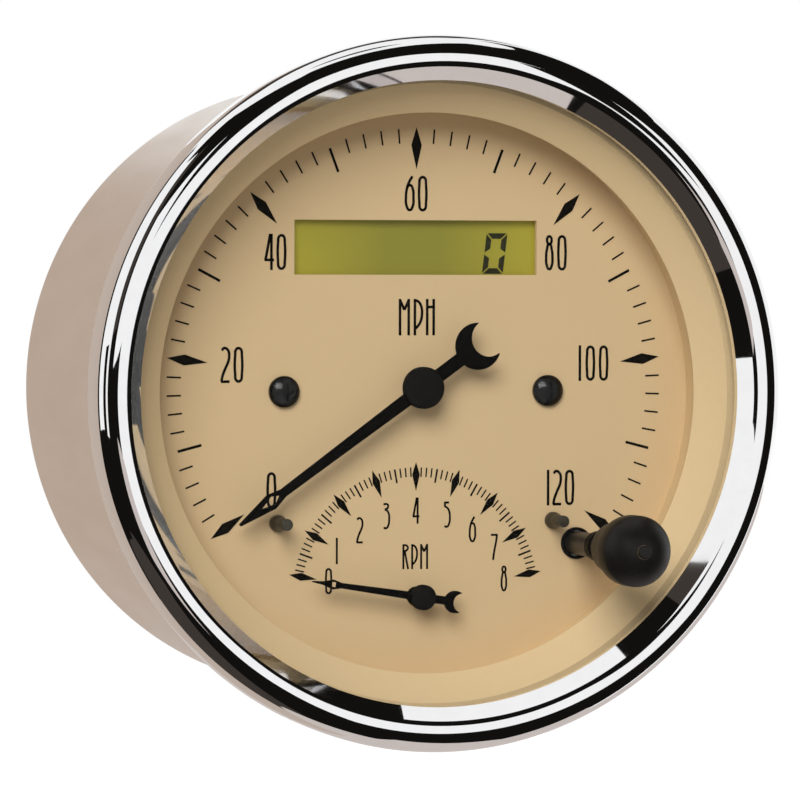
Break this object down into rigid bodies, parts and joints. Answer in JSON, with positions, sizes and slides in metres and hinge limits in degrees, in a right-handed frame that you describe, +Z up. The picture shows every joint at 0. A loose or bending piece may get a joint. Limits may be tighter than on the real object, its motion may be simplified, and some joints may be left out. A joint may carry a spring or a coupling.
{
  "type": "in-dash speedometer",
  "caption": "Round in-dash electronic speedometer with a tachometer below it, a display window, chrome bezel, flat lens and a push button that passes through the lens.",
  "frame": {"origin": "case axis at the rear face of the bezel, where it sits on the panel", "axes": "+Y along the case axis into the panel, +X to the reader's right, +Z up the dial"},
  "size_m": [0.0946, 0.0941, 0.0946],
  "materials": {
    "satin_steel": "satin plated",
    "chrome": "polished",
    "clear_lens": "clear",
    "seal_rubber": "matt",
    "beige_shroud": "matt moulded",
    "beige_dial": "matt printed",
    "black_paint": "matt",
    "black_plastic": "satin moulded",
    "knob_plastic": "satin moulded",
    "display_glass": "matt polariser",
    "white_plastic": "moulded",
    "circuit_board": "lacquered",
    "brass": "turned",
    "plated_steel": "zinc plated",
    "spindle_steel": "ground",
    "magnet": "sintered",
    "copper_wire": "enamelled copper",
    "chip_plastic": "moulded",
    "capacitor_can": "sleeved",
    "bulb_glass": "clear",
    "brown_plastic": "moulded",
    "contact_rubber": "striped"
  },
  "bodies": {
    "housing": {"case_cup": "satin_steel", "bezel": "chrome", "lens": "clear_lens", "lens_gasket": "seal_rubber", "shroud_ring": "beige_shroud", "dial_plate": "beige_dial", "dial_screws": "black_paint", "stop_pins": "black_paint", "speedo_bobbin_front": "white_plastic", "speedo_bobbin_rear": "white_plastic", "speedo_coils": "copper_wire", "speedo_shield_can": "plated_steel", "tach_bobbin_front": "white_plastic", "tach_bobbin_rear": "white_plastic", "tach_coils": "copper_wire", "tach_shield_can": "plated_steel", "lcd_panel": "display_glass", "lcd_frame": "black_plastic", "lcd_contact_strips": "contact_rubber", "lcd_backlight": "white_plastic", "reset_spring": "plated_steel", "reset_switch": "black_plastic", "display_board": "circuit_board", "power_board": "circuit_board", "link_header": "black_plastic", "dial_pillars": "brass", "board_pillars": "brass", "rear_pillars": "brass", "logic_chip": "chip_plastic", "driver_chip": "chip_plastic", "capacitors": "capacitor_can", "lamp_sockets": "black_plastic", "lamp_bulbs": "bulb_glass", "terminal_base": "brown_plastic", "spade_terminals": "brass", "mounting_studs": "plated_steel", "stud_washers": "plated_steel", "stud_nuts": "plated_steel"},
    "speedo_rotor": {"speedo_pointer": "black_paint", "speedo_hub_cap": "black_plastic", "speedo_spindle": "spindle_steel", "speedo_rotor_magnet": "magnet"},
    "tach_rotor": {"tach_pointer": "black_paint", "tach_hub_cap": "black_plastic", "tach_spindle": "spindle_steel", "tach_rotor_magnet": "magnet"},
    "reset_button": {"reset_knob": "knob_plastic", "reset_shaft": "knob_plastic", "reset_clip": "plated_steel", "reset_plunger": "white_plastic"}
  },
  "joints": [
    {"name": "speedo_needle", "type": "hinge", "parent": "housing", "child": "speedo_rotor", "pos_m": [0, 0, 0.00065], "axis": [0, 1, 0], "range_deg": [-3.3, 254]},
    {"name": "tach_needle", "type": "hinge", "parent": "housing", "child": "tach_rotor", "pos_m": [0, 0, -0.0273], "axis": [0, 1, 0], "range_deg": [-2, 163]},
    {"name": "reset_push", "type": "slide", "parent": "housing", "child": "reset_button", "axis": [0, 1, 0], "range_m": [0, 0.002], "stiffness_N_per_m": 400, "springref_m": -0.002, "deforming": ["reset_spring"]}
  ]
}
